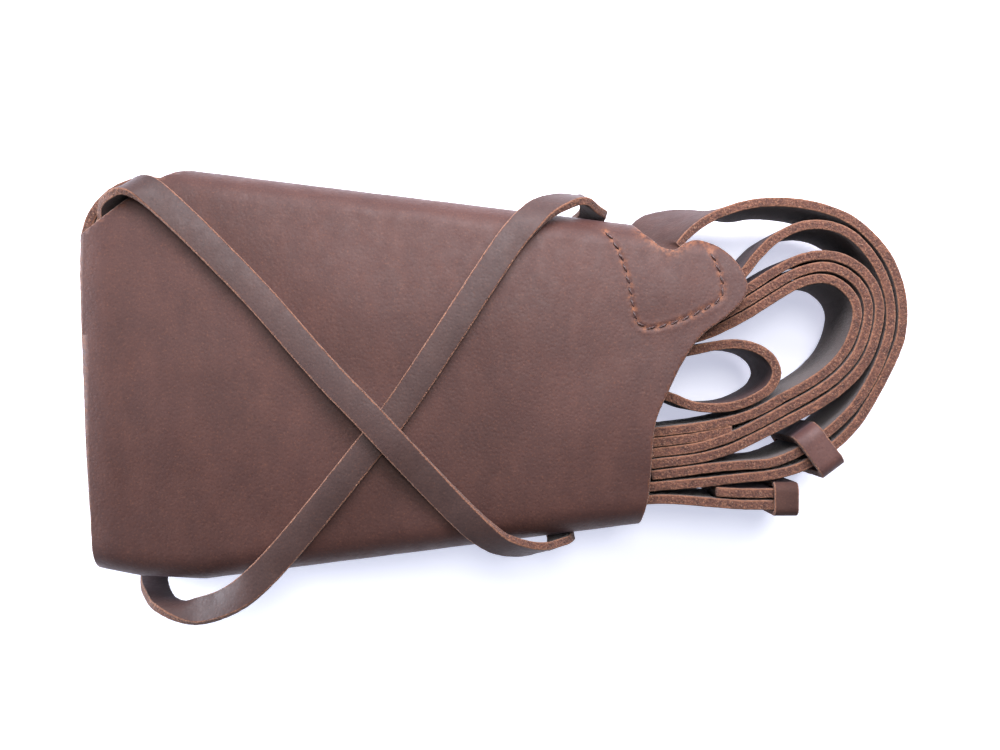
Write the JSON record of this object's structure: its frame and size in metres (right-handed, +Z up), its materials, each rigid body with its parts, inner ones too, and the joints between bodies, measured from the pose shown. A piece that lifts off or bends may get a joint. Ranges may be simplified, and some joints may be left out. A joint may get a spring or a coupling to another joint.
{
  "type": "leather strap set wrapped in a tapered leather panel",
  "caption": "Tapered leather panel wrapped into a flat sleeve round its own coiled leather straps, closed by a flat lace tied across in an X, with sliding keeper loops.",
  "frame": {"origin": "on the resting surface, under the middle of the whole article's bounding box", "axes": "+X runs from the wide end of the sleeve to the coil, +Y across the sleeve towards the sewn tab's side, +Z up from the resting surface"},
  "size_m": [0.1834, 0.1012, 0.0401],
  "materials": {
    "panel_leather": "smooth waxed grain",
    "strap_leather": "waxed grain with raw fuzzy cut edges",
    "keeper_leather": "waxed grain",
    "lace_leather": "waxed grain with raw cut edges",
    "thread": "waxed thread"
  },
  "bodies": {
    "wrapped_set": {"sleeve_panel": "panel_leather", "shoulder_strap": "strap_leather", "adjusting_strap": "strap_leather", "tie_lace": "lace_leather", "tab_stitching": "thread"},
    "large_keeper_body": {"large_keeper": "keeper_leather"},
    "small_keeper_body": {"small_keeper": "keeper_leather"}
  },
  "joints": [
    {"name": "large_keeper_slide", "type": "slide", "parent": "wrapped_set", "child": "large_keeper_body", "axis": [0.8, 0.6, 0], "range_m": [-0.003, 0.003]},
    {"name": "small_keeper_slide", "type": "slide", "parent": "wrapped_set", "child": "small_keeper_body", "axis": [1, 0, 0], "range_m": [-0.004, 0.001]}
  ]
}
